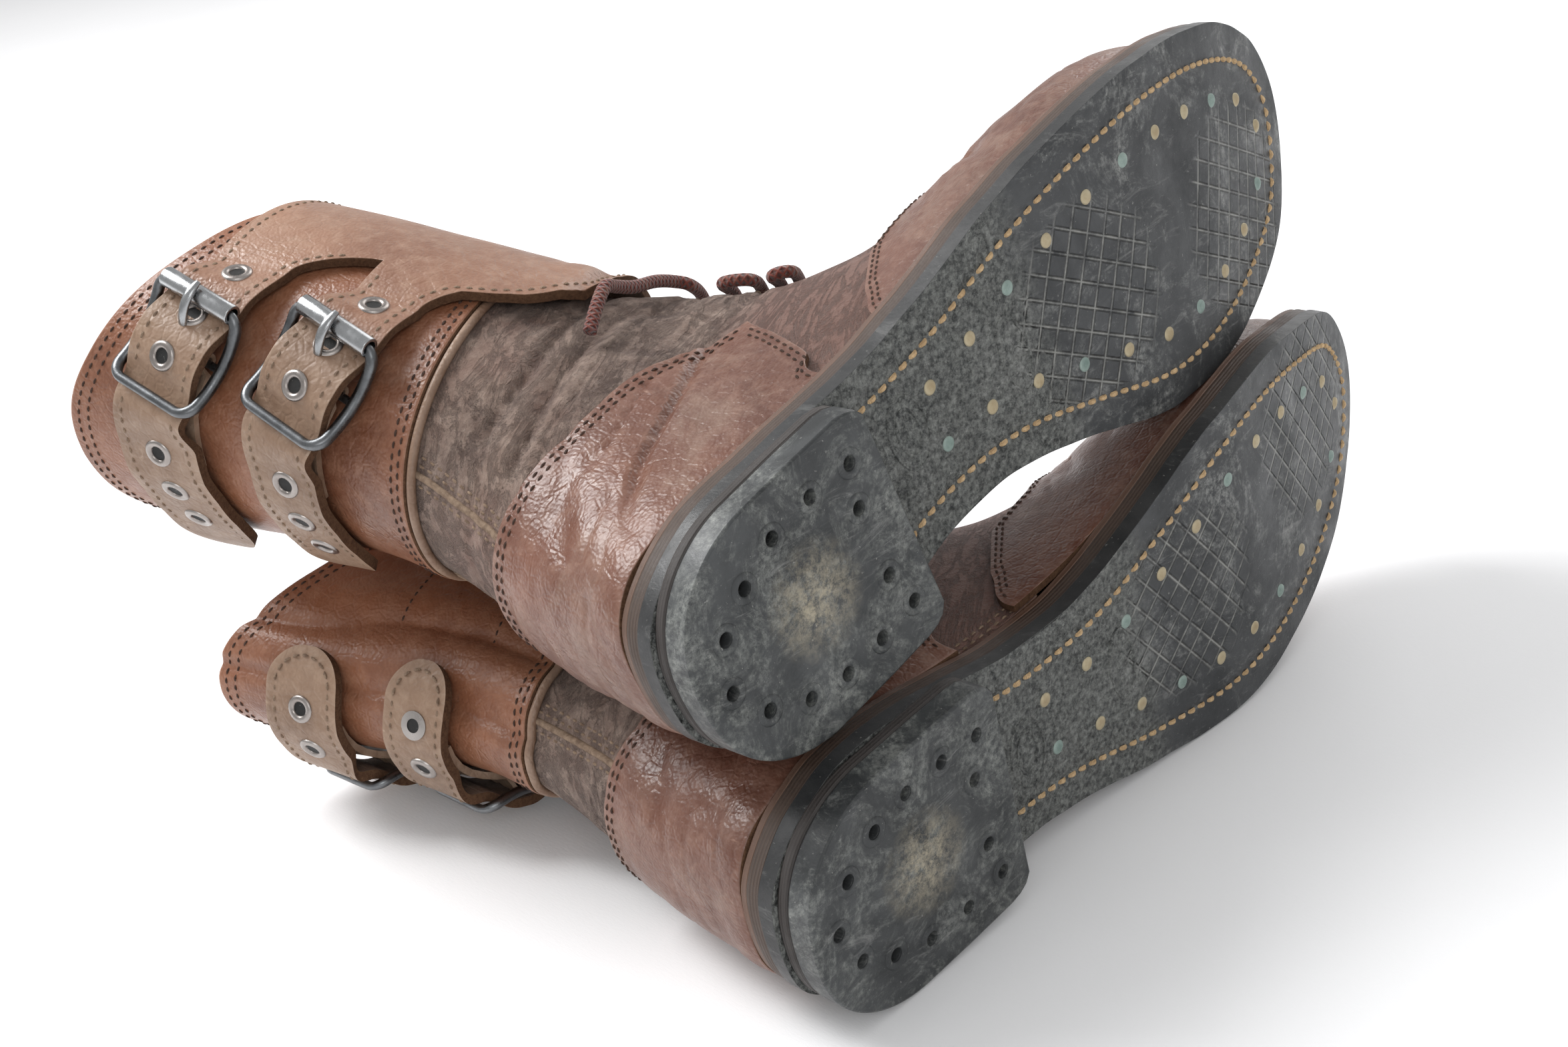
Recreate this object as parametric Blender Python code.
"""A pair of worn double-buckle riding boots, tipped onto their sides, one resting on the other.

Every boot is described in its own frame in millimetres: x to the outer side, y forward from the
back of the heel, z up from the ground.  The left boot is the mirrored design.  Parent empties
then lay the two boots down.  Blender units are metres, +Z up.
"""
import math

import bmesh
import bpy
import numpy as np
from mathutils import Matrix, Vector

MM = 0.001
GAP = 0.35                # clearance left between neighbouring pieces

# ---- sole stack, heights above the outsole's lower face -------------------------------------
OUTSOLE_T = 5.0
MIDSOLE = (5.35, 9.7)
FILL_LEVEL = (10.05, 11.6)          # cork filler and shank, inside the welt ring
WELT = (10.05, 12.0)
INSOLE = (12.35, 14.6)
FEATHER = 12.6                      # lower edge of the leather above the outsole's lower face
HEEL_LEN = 79.0
HEEL_RUBBER = 8.0

# ---- leather layers, offsets from the inner surface of the upper ------------------------------
UNDER = (0.0, 2.2)                  # quarters, back panel, toe stiffener
OVER = (3.0, 5.2)                   # vamp, cuff
FOXING = (3.5, 5.6)
FLAP = (5.9, 9.1)                   # flap and straps
TONGUE = (-3.8, -1.2)

# ---- buckles and straps -------------------------------------------------------------------------
STRAP_T = 3.2
STRAP_HALF = 12.6                   # half width of a strap
BAR = 2.4                           # square bar of the buckle frame
FRAME_REACH = 16.0                  # centre bar to either end bar
FRAME_HALF = 16.8                   # half width outside
END_RISE = 4.4                      # end bars above the centre bar
BAR_HEIGHT = 9.7                    # centre bar above the inner surface of the leather
# Underside of the strap above the centre bar's axis, against the distance from it.
STRAP_RUN = ([-30, -20, -17, -13, -8.5, -4, 4, 8.5, 13, 17, 30],
             [-4.4, -2.7, -2.3, -1.8, 1.2, 3.75, 3.75, 1.8, -1.1, -1.2, -1.2])
ROLLER_R = (2.0, 3.0)
HINGE_T = 19.5                      # where the free tail of a strap starts
SHAFT_STEP = 33.0                   # millimetres of height per section step in the shaft

# ---- sole outline (x outer side, y forward), closed -----------------------------------------------
OUTLINE = [(0, 0), (20, 5), (32, 26), (34, 55), (34, 85), (37, 115), (45, 149), (50, 184),
           (49, 214), (42, 246), (30, 273), (15, 291), (-4, 299), (-23, 294), (-41, 277),
           (-50, 249), (-53, 220), (-49, 190), (-37, 159), (-27, 130), (-26, 100), (-31, 75),
           (-35, 50), (-33, 25), (-20, 5)]
SOLE_Y = [0, 75, 110, 150, 195, 235, 270, 300]
SOLE_Z = [12, 12.3, 11.5, 8.5, 5.5, 10.5, 18.5, 28.5]
NAIL_HOLES = [(23, 69), (24, 54), (23, 39), (18, 26), (11, 15), (-2, 10), (-14, 17),
              (-21, 29), (-24, 42), (-24, 56), (-23, 70), (11, 66), (-11, 66)]

# ---- sections of the foot and shaft: back/bottom point, front/top point, half widths ------------
# (back y, back z, front y, front z, outer half width, inner half width,
#  share of the widest point, front power, back power, x of the centre)
SECTIONS = np.array([
    (8, 252, 112, 256, 48, 48, .50, 2.1, 2.1, 0),
    (12, 220, 114, 226, 47, 47, .50, 2.1, 2.1, 0),
    (18, 187, 117, 197, 45, 45, .50, 2.1, 2.1, 0),
    (22, 157, 119, 172, 42, 42, .50, 2.1, 2.1, 0),
    (20, 128, 122, 148, 39, 39, .48, 2.1, 2.1, 0),
    (13, 98, 129, 128, 37, 37, .46, 2.1, 2.2, 0),
    (5, 66, 138, 112, 35, 35, .42, 2.1, 2.4, 0),
    (3, 40, 147, 101, 33.5, 33.5, .38, 2.1, 2.8, 0),
    (6, 18, 155, 95, 32, 32, .36, 2.1, 3.6, 0),
    (45, 18.5, 164, 90, 31, 31, .30, 2.1, 5.0, 0),
    (90, 18.8, 175, 84, 30, 27, .30, 2.1, 5.0, 0),
    (130, 16.5, 190, 77, 35, 29, .30, 2.1, 5.0, 0),
    (165, 13.7, 206, 70, 41, 37, .32, 2.1, 5.0, 0),
    (200, 12.2, 226, 64, 44, 46, .36, 2.2, 5.0, 0),
    (232, 16.5, 247, 60, 39, 47, .40, 2.3, 5.0, 0),
    (258, 22.5, 265, 57, 29, 41, .42, 2.4, 4.5, -1),
    (277, 28.0, 279, 53, 15, 27, .45, 2.4, 4.0, -5),
    (287, 33.0, 287, 47, 5, 10, .50, 2.2, 3.0, -8),
    (290, 39.0, 290, 42, 1, 1, .50, 2.0, 2.0, -8)], float)
SHELL = 4.5                         # the sections follow the leather's outside; the lining is inside
LAST = len(SECTIONS) - 1

# Rear edge of the vamp: section number against degrees from the top.
VAMP_EDGE = ([0, 30, 51, 64, 85, 112], [11.4, 11.3, 10.9, 10.3, 10.25, 10.5])
# Top edge of the heel foxing, outer side, section number and degrees.
FOX_TOP = [(8.0, 60), (7.3, 68), (6.5, 82), (6.0, 109), (5.65, 138), (5.5, 160), (5.45, 180)]
FOX_FRONT = [(8.0, 60), (8.9, 72), (9.6, 92)]
CUFF_TOP = ([0, 60, 92, 118, 138, 165, 180], [1.0, 0.95, 0.8, 0.55, 0.35, 0.05, 0.0])
CUFF_BOTTOM = 3.9
CUFF_EDGES = (28, 334)              # the cuff's front edges, hidden under the flap
SHAFT_TOP = 3.6                     # upper edge of the quarters, inside the cuff
BACK_SEAM = 150.0                   # the back panel is 60 degrees wide

# How each boot's soft shaft has settled: lean to the outer side, lean forward, flattening.
SETTLE = {"right": (0.29, -0.15, 0.0), "left": (-0.08, -0.13, 0.36)}
SIDE = {"right": 1, "left": -1}
# Where the boots lie: origin of the boot frame (mm), how far the toe points up from the floor,
# and how far the shaft's end is tipped down (degrees).
PLACE = {"left": ((134.44, -132.58, 31.6), 5.7, 0.18),
         "right": ((114.64, -135.98, 99.8), 14.5, -3.9)}
# Buckle centre bars: section number, degrees, and how the strap's section number drifts per mm.
STRAPS = {"upper": (1.35, 131.0, 0.0075), "lower": (2.75, 131.0, 0.0115)}
TAIL_END = {"right": 79.0, "left": 64.0}   # strap tips, from the centre bar


def hermite(x, xs, ys):
    """Smooth curve through the points (xs, ys)."""
    xs, ys = np.asarray(xs, float), np.asarray(ys, float)
    slope = np.gradient(ys, xs)
    x = np.clip(np.asarray(x, float), xs[0], xs[-1])
    i = np.clip(np.searchsorted(xs, x) - 1, 0, len(xs) - 2)
    h = xs[i + 1] - xs[i]
    t = (x - xs[i]) / h
    return ((2 * t**3 - 3 * t**2 + 1) * ys[i] + (t**3 - 2 * t**2 + t) * h * slope[i]
            + (3 * t**2 - 2 * t**3) * ys[i + 1] + (t**3 - t**2) * h * slope[i + 1])


def sole_z(y):
    """Height of the outsole's lower face above the ground."""
    return hermite(y, SOLE_Y, SOLE_Z)


def catmull(t, rows):
    """Catmull-Rom through the rows, t from 0 to len(rows) - 1."""
    n = len(rows)
    t = np.clip(t, 0, n - 1)
    i = np.minimum(t.astype(int), n - 2)
    u = (t - i)[:, None]
    p0, p1, p2, p3 = (rows[np.clip(i + k, 0, n - 1)] for k in (-1, 0, 1, 2))
    return .5 * (2 * p1 + (p2 - p0) * u + (2 * p0 - 5 * p1 + 4 * p2 - p3) * u * u
                 + (3 * p1 - p0 - 3 * p2 + p3) * u**3)


def closed_curve(points, n):
    """n points of the closed Catmull-Rom curve through the points."""
    pts = np.asarray(points, float)
    rows = np.concatenate([pts[-1:], pts, pts[:2]])
    t = 1 + np.arange(n) * len(pts) / n
    return catmull(t, rows)


def lining(rows, d):
    """The sections moved inwards by the thickness of the leather; the sole side stays."""
    rows = rows.copy()
    chord = rows[:, 2:4] - rows[:, 0:2]
    length = np.linalg.norm(chord, axis=1, keepdims=True)
    step = chord / length * np.minimum(d, .16 * length)
    shaft = (np.arange(len(rows)) < 9)[:, None]
    rows[:, 0:2] += step * shaft
    rows[:, 2:4] -= step
    rows[:, 4:6] -= np.minimum(d, .2 * rows[:, 4:6])
    return rows


LINING = lining(SECTIONS, SHELL)


def inner_surface(s, deg, settle):
    """Inner surface of the upper: s counts sections from the top of the shaft round to the toe,
    deg runs 0 at the front, 90 at the outer side, 180 at the back or the sole."""
    s, deg = np.broadcast_arrays(np.asarray(s, float), np.asarray(deg, float))
    shape = s.shape
    by, bz, ty, tz, wo, wi, c, nt, nb, xc = catmull(s.ravel(), LINING).T
    co, si = np.cos(np.radians(deg.ravel())), np.sin(np.radians(deg.ravel()))
    power = 2 / np.where(co > 0, nt, nb)
    co = np.sign(co) * np.abs(co)**power
    si = np.sign(si) * np.abs(si)**power
    along = np.where(co > 0, c + (1 - c) * co, c + c * co)
    x = xc + np.where(si > 0, wo, wi) * si
    y = by + (ty - by) * along
    z = bz + (tz - bz) * along
    lean_x, lean_y, flat = settle
    g = np.clip((z - 72) / 70, 0, 1)
    g = g * g * (3 - 2 * g)
    x = x * (1 - flat * g)
    y = y + g * flat * .3 * (y - 55)
    u = np.clip((z - 35) / 80, 0, 1)
    rise = np.where(z > 115, z - 75, 40 * u * u)
    sink = g * (lean_x * x + lean_y * (y - 62))
    return np.stack([x + lean_x * rise, y + lean_y * rise, z - sink], -1).reshape(*shape, 3)


def surface_frame(s, deg, settle):
    """Points of the inner surface with unit outward directions."""
    s, deg = np.broadcast_arrays(np.asarray(s, float), np.asarray(deg, float))
    lo, hi = np.clip(s - .03, 0, LAST), np.clip(s + .03, 0, LAST)
    ds = inner_surface(hi, deg, settle) - inner_surface(lo, deg, settle)
    dt = inner_surface(s, deg + .7, settle) - inner_surface(s, deg - .7, settle)
    n = np.cross(dt, ds)
    p = inner_surface(s, deg, settle)
    # In the lower foot the layers stand out sideways, so that their lower edges stay level.
    low = (p[..., 2] < 62) & (s > 6)
    fade = np.clip((62 - p[..., 2]) / 12, 0, 1) * low
    n /= np.linalg.norm(n, axis=-1, keepdims=True) + 1e-12
    n[..., 2] = np.where((n[..., 2] < 0), n[..., 2] * (1 - fade), n[..., 2])
    n /= np.linalg.norm(n, axis=-1, keepdims=True) + 1e-12
    return p, n


def layer(s, deg, d, settle):
    p, n = surface_frame(s, deg, settle)
    return p + n * np.asarray(d, float)[..., None] if np.ndim(d) else p + n * d


def feather_deg(s, side, settle):
    """Angle at which the section s reaches the feather line, on the outer (+1) or inner side."""
    s = np.asarray(s, float)
    lo, hi = np.full(s.shape, 75.0), np.full(s.shape, 179.5)
    for _ in range(24):
        mid = (lo + hi) / 2
        p = inner_surface(s, side * mid, settle)
        above = p[..., 2] > sole_z(p[..., 1]) + FEATHER + 1.7 * np.clip((p[..., 1] - 215) / 80, 0, 1)
        lo, hi = np.where(above, mid, lo), np.where(above, hi, mid)
    return lo


def feather_s(deg, settle):
    """Section number at which the line of a given angle reaches the feather line at the heel."""
    deg = np.asarray(deg, float)
    lo, hi = np.full(deg.shape, 6.0), np.full(deg.shape, 9.4)
    for _ in range(24):
        mid = (lo + hi) / 2
        p = inner_surface(mid, deg, settle)
        above = p[..., 2] > sole_z(p[..., 1]) + FEATHER
        lo, hi = np.where(above, mid, lo), np.where(above, hi, mid)
    return lo


def feather_curve(deg_from, s_to, side, settle, n=24):
    """Feather line from an angle at the heel to a section at the waist, one side."""
    turn = 132.0
    a = np.linspace(deg_from, turn, 200)
    part_a = np.stack([feather_s(side * a, settle), side * a], 1)
    b = np.linspace(part_a[-1, 0], s_to, 200)[1:]
    part_b = np.stack([b, side * feather_deg(b, side, settle)], 1)
    return resample(np.concatenate([part_a, part_b]), n, settle)


def resample(path, n, settle):
    """n points evenly spaced along a path given in (section, degrees)."""
    path = np.asarray(path, float)
    fine = np.concatenate([np.linspace(path[i], path[i + 1], 12, endpoint=False)
                           for i in range(len(path) - 1)] + [path[-1:]])
    p = inner_surface(fine[:, 0], fine[:, 1], settle)
    along = np.concatenate([[0], np.cumsum(np.linalg.norm(np.diff(p, axis=0), axis=1))])
    t = np.linspace(0, along[-1], n)
    return np.stack([np.interp(t, along, fine[:, k]) for k in (0, 1)], 1)


def coons(top, bottom, left, right):
    """Grid filling four border paths: top and bottom run left to right, the others downwards."""
    nu, nv = len(top), len(left)
    u, v = np.linspace(0, 1, nu)[None, :, None], np.linspace(0, 1, nv)[:, None, None]
    return ((1 - v) * top[None] + v * bottom[None] + (1 - u) * left[:, None] + u * right[:, None]
            - ((1 - u) * (1 - v) * top[0] + u * (1 - v) * top[-1]
               + (1 - u) * v * bottom[0] + u * v * bottom[-1]))


# ---- mesh helpers ---------------------------------------------------------------------------------
class Boot:
    """Collects the pieces of one boot under its parent empty."""

    def __init__(self, name):
        self.name = name
        self.side = SIDE[name]
        self.settle = SETTLE[name]
        self.parent = bpy.data.objects.new(f"{name}_boot_frame", None)
        bpy.context.collection.objects.link(self.parent)

    def add(self, name, verts, faces, color, rough=.6, metal=0.0, pivot=(0, 0, 0), bevel=0.0):
        """One closed piece; the vertices are in the boot frame, pivot is its joint's place."""
        pivot = np.asarray(pivot, float)
        v = (np.asarray(verts, float) - pivot) * MM
        v[:, 0] *= self.side
        mesh = bpy.data.meshes.new(f"{self.name}_{name}")
        mesh.from_pydata([tuple(p) for p in v], [], [tuple(int(i) for i in f) for f in faces])
        bm = bmesh.new()
        bm.from_mesh(mesh)
        bmesh.ops.remove_doubles(bm, verts=bm.verts, dist=2e-6)
        bmesh.ops.dissolve_degenerate(bm, dist=1e-6, edges=bm.edges)
        bmesh.ops.recalc_face_normals(bm, faces=bm.faces)
        if bm.calc_volume(signed=True) < 0:
            bmesh.ops.reverse_faces(bm, faces=bm.faces)
        if bevel:
            sharp = [e for e in bm.edges if e.calc_face_angle(0) > 0.9]
            bmesh.ops.bevel(bm, geom=sharp, offset=bevel * MM, segments=1, affect="EDGES")
        bm.to_mesh(mesh)
        bm.free()
        mesh.polygons.foreach_set("use_smooth", [True] * len(mesh.polygons))
        mesh.set_sharp_from_angle(angle=math.radians(35))
        mat = bpy.data.materials.new(f"{self.name}_{name}")
        mat.use_nodes = True
        shader = mat.node_tree.nodes["Principled BSDF"]
        shader.inputs["Base Color"].default_value = (*color, 1)
        shader.inputs["Roughness"].default_value = rough
        shader.inputs["Metallic"].default_value = metal
        mesh.materials.append(mat)
        ob = bpy.data.objects.new(f"{self.name}_{name}", mesh)
        bpy.context.collection.objects.link(ob)
        ob.parent = self.parent
        ob.location = (self.side * pivot[0] * MM, pivot[1] * MM, pivot[2] * MM)
        return ob

    def sheet(self, name, grid, d, color, mask=None, **kw):
        """Leather of even thickness over a grid of (section, degrees); mask drops cells.
        d is (low, high) or a pair of arrays on the grid."""
        s, deg = grid[..., 0], grid[..., 1]
        inner, outer = (layer(s, deg, np.broadcast_to(x, s.shape), self.settle) for x in d)
        return self.add(name, *thick(inner, outer, mask), color, **kw)


def thick(inner, outer, mask=None):
    """Vertices and faces of the closed body between two grids."""
    nv, nu = inner.shape[:2]
    verts = np.concatenate([inner.reshape(-1, 3), outer.reshape(-1, 3)])
    cells = np.ones((nv - 1, nu - 1), bool) if mask is None else mask
    base = nv * nu
    faces = []
    for j in range(nv - 1):
        for i in range(nu - 1):
            if not cells[j, i]:
                continue
            a, b, c, e = j * nu + i, j * nu + i + 1, (j + 1) * nu + i + 1, (j + 1) * nu + i
            faces += [(a, b, c, e), (base + e, base + c, base + b, base + a)]
            for p, q, jj, ii in ((a, b, j - 1, i), (b, c, j, i + 1), (c, e, j + 1, i),
                                 (e, a, j, i - 1)):
                inside = 0 <= jj < nv - 1 and 0 <= ii < nu - 1 and cells[jj, ii]
                if not inside:
                    faces.append((q, p, base + p, base + q))
    used = sorted({k for f in faces for k in f})
    new = {k: n for n, k in enumerate(used)}
    return verts[used], [tuple(new[k] for k in f) for f in faces]


def half_widths(outline, y):
    """Outer and inner x of an outline at the heights y."""
    out = np.asarray(outline)
    i0, i1 = out[:, 1].argmin(), out[:, 1].argmax()
    n = len(out)
    one = out[[(i0 + k) % n for k in range((i1 - i0) % n + 1)]]
    two = out[[(i0 - k) % n for k in range((i0 - i1) % n + 1)]]
    a = np.interp(y, np.maximum.accumulate(one[:, 1]), one[:, 0])
    b = np.interp(y, np.maximum.accumulate(two[:, 1]), two[:, 0])
    return np.maximum(a, b), np.minimum(a, b)


def inset(outline, d):
    """Outline moved inwards by d."""
    p = np.asarray(outline, float)
    t = np.roll(p, -1, 0) - np.roll(p, 1, 0)
    t /= np.linalg.norm(t, axis=1, keepdims=True)
    n = np.stack([-t[:, 1], t[:, 0]], 1)
    area = (p[:, 0] * np.roll(p[:, 1], -1) - np.roll(p[:, 0], -1) * p[:, 1]).sum()
    return p + n * d * np.sign(area)


def slab(outline, low, high, rows=26, cols=5, y_range=None):
    """Grid pair filling an outline between two heights given as functions of y."""
    y0, y1 = outline[:, 1].min(), outline[:, 1].max()
    a = np.linspace(0, math.pi, rows)
    y = (y0 + y1) / 2 - (y1 - y0) / 2 * np.cos(a)
    if y_range:
        y = np.clip(y, *y_range)
        keep = np.concatenate([[True], np.diff(y) > .5])
        y = y[keep]
    outer, inner = half_widths(outline, y)
    t = np.linspace(0, 1, cols)
    x = inner[:, None] + (outer - inner)[:, None] * t
    yy = np.repeat(y[:, None], cols, 1)
    return (np.stack([x, yy, low(yy)], -1), np.stack([x, yy, high(yy)], -1))


def ring(outline, width, low, high):
    """Closed ring running just inside an outline."""
    p, q = np.asarray(outline, float), inset(outline, width)
    n = len(p)
    loops = []
    for path, z in ((p, low), (p, high), (q, high), (q, low)):
        loops.append(np.concatenate([path, z(path[:, 1])[:, None]], 1))
    verts = np.concatenate(loops)
    faces = [(k * n + i, k * n + (i + 1) % n, (k + 1) % 4 * n + (i + 1) % n, (k + 1) % 4 * n + i)
             for k in range(4) for i in range(n)]
    return verts, faces


def tube(path, radius, sides=8, normal=(0, 0, 1)):
    """Closed round tube along an open path, with flat ends."""
    path = np.asarray(path, float)
    tang = np.gradient(path, axis=0)
    tang /= np.linalg.norm(tang, axis=1, keepdims=True)
    up = np.asarray(normal, float)
    verts, faces = [], []
    for p, t in zip(path, tang):
        side = np.cross(t, up)
        side /= np.linalg.norm(side)
        up = np.cross(side, t)
        for k in range(sides):
            a = 2 * math.pi * k / sides
            verts.append(p + radius * (math.cos(a) * side + math.sin(a) * up))
    for j in range(len(path) - 1):
        for k in range(sides):
            faces.append((j * sides + k, j * sides + (k + 1) % sides,
                          (j + 1) * sides + (k + 1) % sides, (j + 1) * sides + k))
    faces.append(tuple(range(sides))[::-1])
    faces.append(tuple((len(path) - 1) * sides + k for k in range(sides)))
    return np.array(verts), faces


# ---- colours (linear) -------------------------------------------------------------------------------
RUBBER = (.035, .037, .038)
LEATHER_RED = (.17, .075, .05)
ROUGH_OUT = (.16, .10, .075)
CUFF_TAN = (.26, .11, .055)
STRAP_TAN = (.30, .18, .10)
WOODY = (.12, .05, .03)
STEEL = (.10, .105, .11)


def build_sole(b):
    """Outsole, midsole, welt, filler, shank, insole and the stacked heel."""
    outline = closed_curve(OUTLINE, 60)

    def level(h):
        return lambda y: sole_z(y) + h

    b.add("outsole", *thick(*slab(outline, level(0), level(OUTSOLE_T), 30, 5)), RUBBER, .8)
    b.add("midsole", *thick(*slab(inset(outline, .6), level(MIDSOLE[0]), level(MIDSOLE[1]), 26, 4)),
          WOODY, .7)
    b.add("welt", *ring(inset(closed_curve(OUTLINE, 50), 1.0), 8.0, level(WELT[0]), level(WELT[1])),
          WOODY, .6)
    fill = inset(outline, 10.5)
    b.add("cork_filler", *thick(*slab(fill, level(FILL_LEVEL[0]), level(FILL_LEVEL[1]), 22, 4,
                                      (136, 400))), (.30, .17, .08), .9)
    y = np.linspace(28, 132, 9)
    half = np.repeat([[-8.0, 0, 8.0]], 9, 0)
    plate = [np.stack([half, np.repeat(y[:, None], 3, 1),
                       np.repeat((sole_z(y) + h)[:, None], 3, 1)], -1) for h in FILL_LEVEL]
    b.add("steel_shank", *thick(*plate), (.4, .4, .42), .4, 1.0)
    s = b.settle
    borders = (feather_curve(180, LAST - .6, side, s, 46) for side in (1, -1))
    rim = [inner_surface(p[:, 0], p[:, 1], s) for p in borders]
    rim = np.concatenate([rim[0], rim[1][:0:-1]])[:, :2]
    b.add("insole", *thick(*slab(inset(rim, 3.6), level(INSOLE[0]), level(INSOLE[1]), 24, 4)),
          (.33, .2, .12), .8)
    heel = heel_outline(0)
    seat = heel_outline(-.3)
    flat = [np.stack([g[..., 0], g[..., 1], np.full(g.shape[:2], z)], -1)
            for g, z in ((heel_grid(heel), 0.0), (heel_grid(heel_outline(-.2)), HEEL_RUBBER))]
    rubber = b.add("heel", *thick(*flat), RUBBER, .75)
    holes = []
    for k, (x, yy) in enumerate(NAIL_HOLES):
        holes.append(tube([(x, yy, -1), (x, yy, 1.5), (x, yy, 4.0)], 1.9, 6, (0, 1, 0)))
    verts = np.concatenate([h[0] for h in holes])
    faces = [tuple(i + 18 * k for i in f) for k, h in enumerate(holes) for f in h[1]]
    cutter(b, "heel_holes", verts, faces, rubber)
    lift = [np.stack([g[..., 0], g[..., 1], np.full(g.shape[:2], z)], -1)
            for g, z in ((heel_grid(seat), HEEL_RUBBER + GAP), (heel_grid(seat), 11.65))]
    b.add("heel_lift", *thick(*lift), (.06, .04, .035), .6)


def heel_outline(extra):
    """Half width of the heel against y, as (y, half width)."""
    a = np.linspace(0, math.pi / 2, 9)
    back = [(36 - 35 * math.cos(t), (35.2 + extra) * math.sin(t)**.85) for t in a]
    side = [(54, 35.6 + extra), (70, 35.6 + extra), (76, 34.2 + extra), (HEEL_LEN, 31.2 + extra)]
    return np.array(back + side)


def heel_grid(profile):
    t = np.linspace(-1, 1, 3)
    x = profile[:, 1][:, None] * t
    return np.stack([x, np.repeat(profile[:, 0][:, None], 3, 1)], -1)


def cutter(b, name, verts, faces, target):
    """Subtracts a hidden shape from a piece."""
    mesh = bpy.data.meshes.new(f"{b.name}_{name}")
    v = np.asarray(verts, float) * MM
    v[:, 0] *= b.side
    mesh.from_pydata([tuple(p) for p in v], [], faces)
    bm = bmesh.new()
    bm.from_mesh(mesh)
    bmesh.ops.recalc_face_normals(bm, faces=bm.faces)
    bm.to_mesh(mesh)
    bm.free()
    ob = bpy.data.objects.new(f"{b.name}_{name}", mesh)
    bpy.context.collection.objects.link(ob)
    ob.parent = b.parent
    ob.hide_render = True
    ob.display_type = "WIRE"
    mod = target.modifiers.new("cut", "BOOLEAN")
    mod.operation = "DIFFERENCE"
    mod.solver = "EXACT"
    mod.object = ob
    return ob


def build_upper(b):
    """The leather of foot and shaft, up to the cuff."""
    s = b.settle
    for name, side in (("quarter_outer", 1), ("quarter_inner", -1)):
        top = resample([(SHAFT_TOP, 15 * side), (SHAFT_TOP, (BACK_SEAM - .4) * side)], 11, s)
        lip = 0.28
        foot = feather_curve(BACK_SEAM - .4, 10.45 + lip, side, s, 60)
        back = resample(np.concatenate([[top[-1]], foot]), 13, s)
        front = resample([(SHAFT_TOP, 15 * side), (8.2, 15 * side), (9.0, 1.0 * side),
                          (11.4 + lip, 1.0 * side)], 13, s)
        deg = np.linspace(1.0, abs(back[-1, 1]), 40)
        edge = np.stack([np.interp(deg, *VAMP_EDGE) + lip, deg * side], 1)
        edge[-1] = back[-1]
        bottom = resample(edge, 11, s)
        b.sheet(name, coons(top, bottom, front, back), UNDER, ROUGH_OUT, rough=.9)
    deg = np.linspace(BACK_SEAM + .4, 360 - BACK_SEAM - .4, 7)
    low = feather_s(deg, s)
    rows = np.linspace(0, 1, 12)[:, None]
    grid = np.stack([SHAFT_TOP + (low - SHAFT_TOP) * rows, np.repeat(deg[None], 12, 0)], -1)
    b.sheet("back_panel", grid, UNDER, ROUGH_OUT, rough=.9)
    # Heel foxing, one piece round the heel.
    top = resample(np.concatenate([FOX_TOP, [(p[0], 360 - p[1]) for p in FOX_TOP[-2::-1]]]), 29, s)
    foot = feather_curve(180, 9.9, 1, s, 60)[::-1]
    other = feather_curve(180, 9.9, -1, s, 60)
    other[:, 1] += 360
    bottom = resample(np.concatenate([foot, other[1:]]), 29, s)
    left = resample(np.concatenate([FOX_FRONT, [bottom[0]]]), 6, s)
    right = left.copy()
    right[:, 1] = 360 - left[:, 1]
    right[-1] = bottom[-1]
    right[0] = top[-1]
    b.sheet("heel_counter", coons(top, bottom, left, right), FOXING, LEATHER_RED, rough=.55)
    # Vamp over the forefoot and the stiffener inside its toe.
    u = np.linspace(-1, 1, 17)
    rear = np.interp(np.abs(u) * 112, *VAMP_EDGE)
    grid = forefoot(u, rear, 14, s)
    b.sheet("vamp", grid, OVER, LEATHER_RED, rough=.55)
    b.sheet("toe_puff", grid[6:], UNDER, (.2, .16, .12), rough=.9)
    deg = np.linspace(-36, 36, 7)
    rows = np.linspace(1.1, 8.0, 12)
    grid = np.stack(np.meshgrid(rows, deg, indexing="ij"), -1)
    b.sheet("tongue", grid, TONGUE, ROUGH_OUT, rough=.9)


def forefoot(u, rear, n, settle):
    """Grid from a rear edge to the toe tip, down to the feather line on both sides."""
    v = np.linspace(0, 1, n)[:, None]**.9
    sec = rear + (LAST - rear) * v
    outer = feather_deg(sec, 1, settle)
    inner = feather_deg(sec, -1, settle)
    return np.stack([sec, u * np.where(u > 0, outer, inner)], -1)


def cuff_top(deg):
    d = np.abs((np.asarray(deg, float) + 180) % 360 - 180)
    return np.interp(d, *CUFF_TOP)


def build_cuff(b):
    deg = np.linspace(*CUFF_EDGES, 29)
    top = cuff_top(deg)
    rows = np.linspace(0, 1, 6)[:, None]
    grid = np.stack([top + (CUFF_BOTTOM - top) * rows, np.repeat(deg[None], 6, 0)], -1)
    b.sheet("cuff", grid, OVER, CUFF_TAN, rough=.5)


def girth_deg(t, s, deg0, settle):
    """Angle reached after going t millimetres round the shaft from the angle deg0."""
    deg = np.linspace(20, 290, 271)
    p = layer(np.full(deg.shape, s), deg, 9.0, settle)
    along = np.concatenate([[0], np.cumsum(np.linalg.norm(np.diff(p, axis=0), axis=1))])
    return np.interp(np.interp(deg0, deg, along) + np.asarray(t, float), along, deg)


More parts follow.
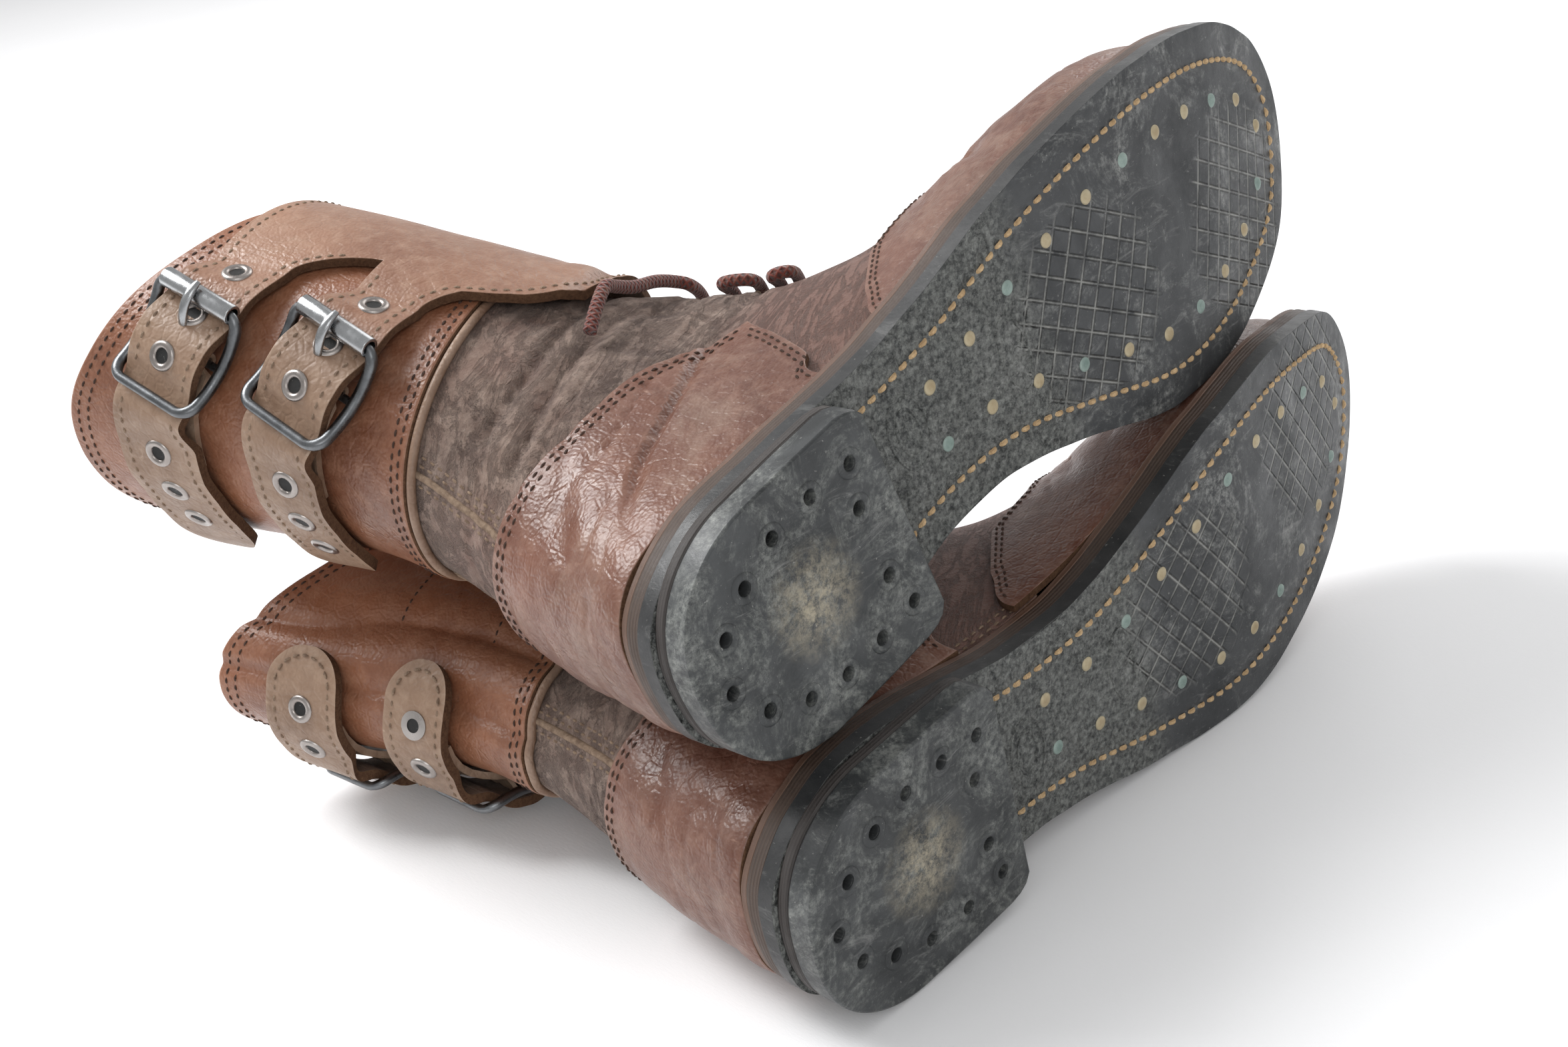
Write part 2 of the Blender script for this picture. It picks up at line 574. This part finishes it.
def on_shaft(t, w, which, settle, d):
    """Point above the shaft: t along a strap from its centre bar, w across it (down the
    shaft), d above the inner surface."""
    s0, deg0, drift = STRAPS[which]
    t, w = np.broadcast_arrays(np.asarray(t, float), np.asarray(w, float))
    s = s0 - drift * np.clip(t, -30, HINGE_T) + w / SHAFT_STEP
    deg = girth_deg(t, s0, deg0, settle)
    return layer(s, deg, np.broadcast_to(np.asarray(d, float), t.shape), settle)


def buckle_frame(which, settle):
    """Centre of the centre bar with the directions along and across the strap and outwards."""
    s0, deg0, _ = STRAPS[which]
    p0, up = surface_frame(s0, deg0, settle)
    along = on_shaft(8, 0, which, settle, 9.0) - on_shaft(-8, 0, which, settle, 9.0)
    along -= up * (along @ up)
    along /= np.linalg.norm(along)
    across = np.cross(along, up)
    across *= np.sign(across @ (layer(s0 + .3, deg0, 0.0, settle) - p0))
    return p0 + up * BAR_HEIGHT, along, across, up


def strap_point(t, w, which, settle, h):
    """Point of a strap: h above its underside.  Near the buckle it follows the flat frame:
    under the roller, over the centre bar, under the outer end bar."""
    t, w, h = np.broadcast_arrays(*(np.asarray(x, float) for x in (t, w, h)))
    centre, along, across, up = buckle_frame(which, settle)
    low = np.interp(t, STRAP_RUN[0], STRAP_RUN[1])
    flat = (centre + t[..., None] * along + w[..., None] * across
            + (low + h)[..., None] * up)
    lie = np.interp(t, [-60, -24, 24, 39, 48, 60, 90], [5.9, 6.1, 9.2, 9.0, 7.3, 6.6, 6.6])
    round_shaft = on_shaft(t, w, which, settle, lie + h)
    share = np.clip((np.abs(t) - 18.5) / 11, 0, 1)[..., None]
    share = share * share * (3 - 2 * share)
    return flat * (1 - share) + round_shaft * share


def build_flap(b):
    """Flap over the front with its two fingers running on as straps through the buckles."""
    s = b.settle
    deg_flap = np.linspace(-62, 86, 11)
    top = np.interp(deg_flap, [-62, 0, 60, 86], [1.25, 1.15, 1.2, 1.38])
    low = np.interp(deg_flap, [-62, -30, 0, 40, 70, 80, 86], [3.7, 4.6, 5.0, 5.0, 4.7, 4.15, 3.9])
    # Rows of the grid at the fingers' root: finger, gap, finger.
    share = np.array([0, .14, .28, .42, .575, .66, .74, .83, .915, 1.0])
    grid = top + (low - top) * share[:, None]
    grid = np.stack([grid, np.repeat(deg_flap[None], len(share), 0)], -1)
    inner = layer(grid[..., 0], grid[..., 1], np.full(grid.shape[:2], FLAP[0]), s)
    outer = layer(grid[..., 0], grid[..., 1], np.full(grid.shape[:2], FLAP[1]), s)
    t = np.array([-38, -33, -28, -24, -20, -15, -12, -9, -5.5, -2.5, 0, 3, 6, 9, 12, 15,
                  HINGE_T - .4])
    w = STRAP_HALF * np.array([-1, -.22, .22, 1.0])
    nt = len(t)
    blank = np.zeros((len(share), nt, 3))
    inner, outer = np.concatenate([inner, blank], 1), np.concatenate([outer, blank], 1)
    cells = np.zeros((len(share) - 1, inner.shape[1] - 1), bool)
    cells[:, :len(deg_flap) - 1] = True
    for which, r0, r1 in (("upper", 0, 3), ("lower", 6, 9)):
        rows = np.arange(r0, r1 + 1)
        ww = np.repeat(w[:, None], nt, 1)
        spread = np.interp(t, [-38, -20], [1.18, 1.0])[None]
        tt = np.repeat(t[None], len(rows), 0)
        for grid3, extra in ((inner, 0.0), (outer, STRAP_T)):
            grid3[r0:r1 + 1, len(deg_flap):] = strap_point(tt, ww * spread, which, s, extra)
        cells[r0:r1, len(deg_flap) - 1:] = True
        cells[r0 + 1, len(deg_flap) + 5:len(deg_flap) + 10] = False
    b.add("cuff_flap", *thick(inner, outer, cells), CUFF_TAN, .5)


def build_buckle(b, which):
    """Frame, roller, prong, chape and free strap tail of one buckle."""
    s = b.settle
    centre, along, across, n0 = buckle_frame(which, s)

    def local(t, w, h):
        t, w, h = np.broadcast_arrays(*(np.asarray(x, float) for x in (t, w, h)))
        return centre + t[..., None] * along + w[..., None] * across + h[..., None] * n0

    # The frame: a plate with two windows whose ends rise, so that the strap passes below them.
    inner_w = FRAME_HALF - 3.2
    tt = np.array([-FRAME_REACH - BAR / 2, -FRAME_REACH + BAR / 2, -11, -6, -BAR / 2, BAR / 2, 6, 11,
                   FRAME_REACH - BAR / 2, FRAME_REACH + BAR / 2])
    ww = np.array([-FRAME_HALF, -inner_w, inner_w, FRAME_HALF])
    rise = END_RISE * (tt / FRAME_REACH)**2
    grid = [local(tt[None], ww[:, None], rise[None] + h) for h in (-BAR / 2, BAR / 2)]
    cells = np.ones((3, len(tt) - 1), bool)
    cells[1, 1:4] = False
    cells[1, 5:8] = False
    b.add(f"buckle_frame_{which}", *thick(*grid, cells), STEEL, .35, 1.0, pivot=centre, bevel=.5)
    # Roller: sheet-metal tube on the end bar towards the flap.
    axis = local(-FRAME_REACH, 0, END_RISE)
    half = inner_w - GAP
    verts, faces = [], []
    n = 14
    small, big = ROLLER_R
    for w, r in ((-half, big), (half, big), (half, small), (-half, small)):
        for k in range(n):
            a = 2 * math.pi * k / n
            verts.append(axis + across * w + r * (math.cos(a) * along + math.sin(a) * n0))
    for j in range(4):
        for k in range(n):
            faces.append((j * n + k, j * n + (k + 1) % n, (j + 1) % 4 * n + (k + 1) % n,
                          (j + 1) % 4 * n + k))
    b.add(f"roller_{which}", verts, faces, STEEL, .25, 1.0, pivot=axis)
    # Prong: an eye round the centre bar and a bent tongue resting on the roller.
    outer_r, inner_r, half = 2.95, 1.95, 1.6
    top = END_RISE + ROLLER_R[1] + .35
    contour = [(math.cos(a) * outer_r, math.sin(a) * outer_r)
               for a in np.radians(np.linspace(150, -150, 13))]
    tongue = [(-5.2, 1.6), (-8.5, 5.2), (-12.5, 7.6), (-16, top), (-19.2, top - .6),
              (-19.6, top + .9), (-16, top + 2.0), (-12, 9.6), (-7.5, 7.0), (-3.6, 3.0)]
    profile = np.array(contour + tongue)
    hole = np.array([(math.cos(a) * inner_r, math.sin(a) * inner_r)
                     for a in np.radians(np.arange(0, 360, 30))])
    b.add(f"prong_{which}", *plate_with_hole(profile, hole, local, half), STEEL, .3, 1.0,
          pivot=centre)
    # Chape: leather folded round the centre bar and stitched to the cuff.
    w_chape = STRAP_HALF - 2.6
    reach = np.array([6.5, 10, 15, 20, 26, 32, 37])
    t_loop = np.radians(np.linspace(62, 298, 9))
    verts, faces = chape_body(which, reach, t_loop, w_chape, local, s)
    b.add(f"chape_{which}", verts, faces, STRAP_TAN, .7)
    # Free tail of the strap, hinged just past the outer end bar.
    end = TAIL_END[b.name]
    tip = end - 12 + 12 * np.sin(np.radians([30, 55, 75, 88]))
    t = np.concatenate([np.linspace(HINGE_T, end - 12, 9), tip])
    width = np.where(t > end - 12, np.sqrt(np.clip(1 - ((t - end + 12) / 12.4)**2, .02, 1)), 1.0)
    ww = np.linspace(-1, 1, 5)[:, None] * STRAP_HALF * width[None]
    tt = np.repeat(t[None], 5, 0)
    grid = [strap_point(tt, ww, which, s, h) for h in (0, STRAP_T)]
    hinge = strap_point(HINGE_T, 0, which, s, STRAP_T)
    b.add(f"strap_tail_{which}", *thick(*grid), STRAP_TAN, .7, pivot=hinge)


def plate_with_hole(profile, hole, local, half):
    """Extrudes a side profile with a round hole across the buckle."""
    n, m = len(profile), len(hole)
    verts = []
    for w in (-half, half):
        for t, h in profile:
            verts.append(local(t, w, h))
        for t, h in hole:
            verts.append(local(t, w, h))
    size = n + m
    faces = []
    bm = bmesh.new()
    flat = [bm.verts.new((t, h, 0)) for t, h in profile] + [bm.verts.new((t, h, 0)) for t, h in hole]
    edges = [bm.edges.new((flat[i], flat[(i + 1) % n])) for i in range(n)]
    edges += [bm.edges.new((flat[n + i], flat[n + (i + 1) % m])) for i in range(m)]
    bm.verts.index_update()
    filled = bmesh.ops.triangle_fill(bm, use_beauty=True, use_dissolve=False, edges=edges)
    for f in filled["geom"]:
        if isinstance(f, bmesh.types.BMFace):
            idx = [v.index for v in f.verts]
            faces.append(tuple(idx))
            faces.append(tuple(i + size for i in reversed(idx)))
    bm.free()
    for i in range(n):
        j = (i + 1) % n
        faces.append((i, j, size + j, size + i))
    for i in range(m):
        j = (i + 1) % m
        faces.append((n + i, n + j, size + n + j, size + n + i))
    return np.array(verts), faces


def chape_body(which, reach, t_loop, w_chape, local, settle):
    """Folded leather: a plate following the cuff, ending in two lugs round the centre bar."""
    w = np.array([-w_chape, -2.1, 2.1, w_chape])
    low, high = OVER[1] + .8, OVER[1] + 3.0
    top_side, low_side = [], []
    for t in reach[::-1]:
        top_side.append([on_shaft(t, x, which, settle, high) for x in w])
        low_side.append([on_shaft(t, x, which, settle, low) for x in w])
    for a in t_loop:
        top_side.append([local(math.cos(a) * 3.25, x, math.sin(a) * 3.25) for x in w])
        low_side.append([local(math.cos(a) * 2.0, x, math.sin(a) * 2.0) for x in w])
    outer, inner = np.array(top_side), np.array(low_side)
    cells = np.ones((outer.shape[0] - 1, 3), bool)
    cells[len(reach) - 1:, 1] = False
    return thick(inner, outer, cells)


def build_lace(b):
    """Lace crossing the tongue in one zigzag, ending in a small loop below the flap."""
    s = b.settle
    path = []
    rows = [8.0, 7.45, 6.9, 6.35, 5.8]
    for k, row in enumerate(rows):
        a, c = (-21, 21) if k % 2 == 0 else (21, -21)
        for f in np.linspace(0, 1, 4):
            path.append((row, a + (c - a) * f, 5.9 + 1.4 * math.sin(math.pi * f)))
    path += [(5.62, 26, 6.4), (5.5, 36, 6.2), (5.4, 48, 6.2), (5.32, 56, 8.5), (5.32, 63, 11.5),
             (5.38, 70, 9.5), (5.45, 76, 6.2)]
    path = np.array(path)
    pts = layer(path[:, 0], path[:, 1], path[:, 2], s)
    t = np.linspace(0, len(pts) - 1, len(pts) + 9)
    b.add("lace", *tube(catmull(t, pts), 2.1, 5), (.25, .05, .025), .8)


def build_boot(name):
    b = Boot(name)
    build_sole(b)
    build_upper(b)
    build_cuff(b)
    build_flap(b)
    for which in STRAPS:
        build_buckle(b, which)
    build_lace(b)
    origin, tilt, roll = PLACE[name]
    on_side = Matrix(((0, 0, -1), (0, 1, 0), (1, 0, 0))).to_4x4()
    turn = Matrix.Rotation(math.radians(tilt), 4, "X") @ Matrix.Rotation(math.radians(roll), 4, "Y")
    b.parent.matrix_world = Matrix.Translation(Vector(origin) * MM) @ turn @ on_side
    return b


for ob in list(bpy.data.objects):
    bpy.data.objects.remove(ob, do_unlink=True)
for boot in ("left", "right"):
    build_boot(boot)
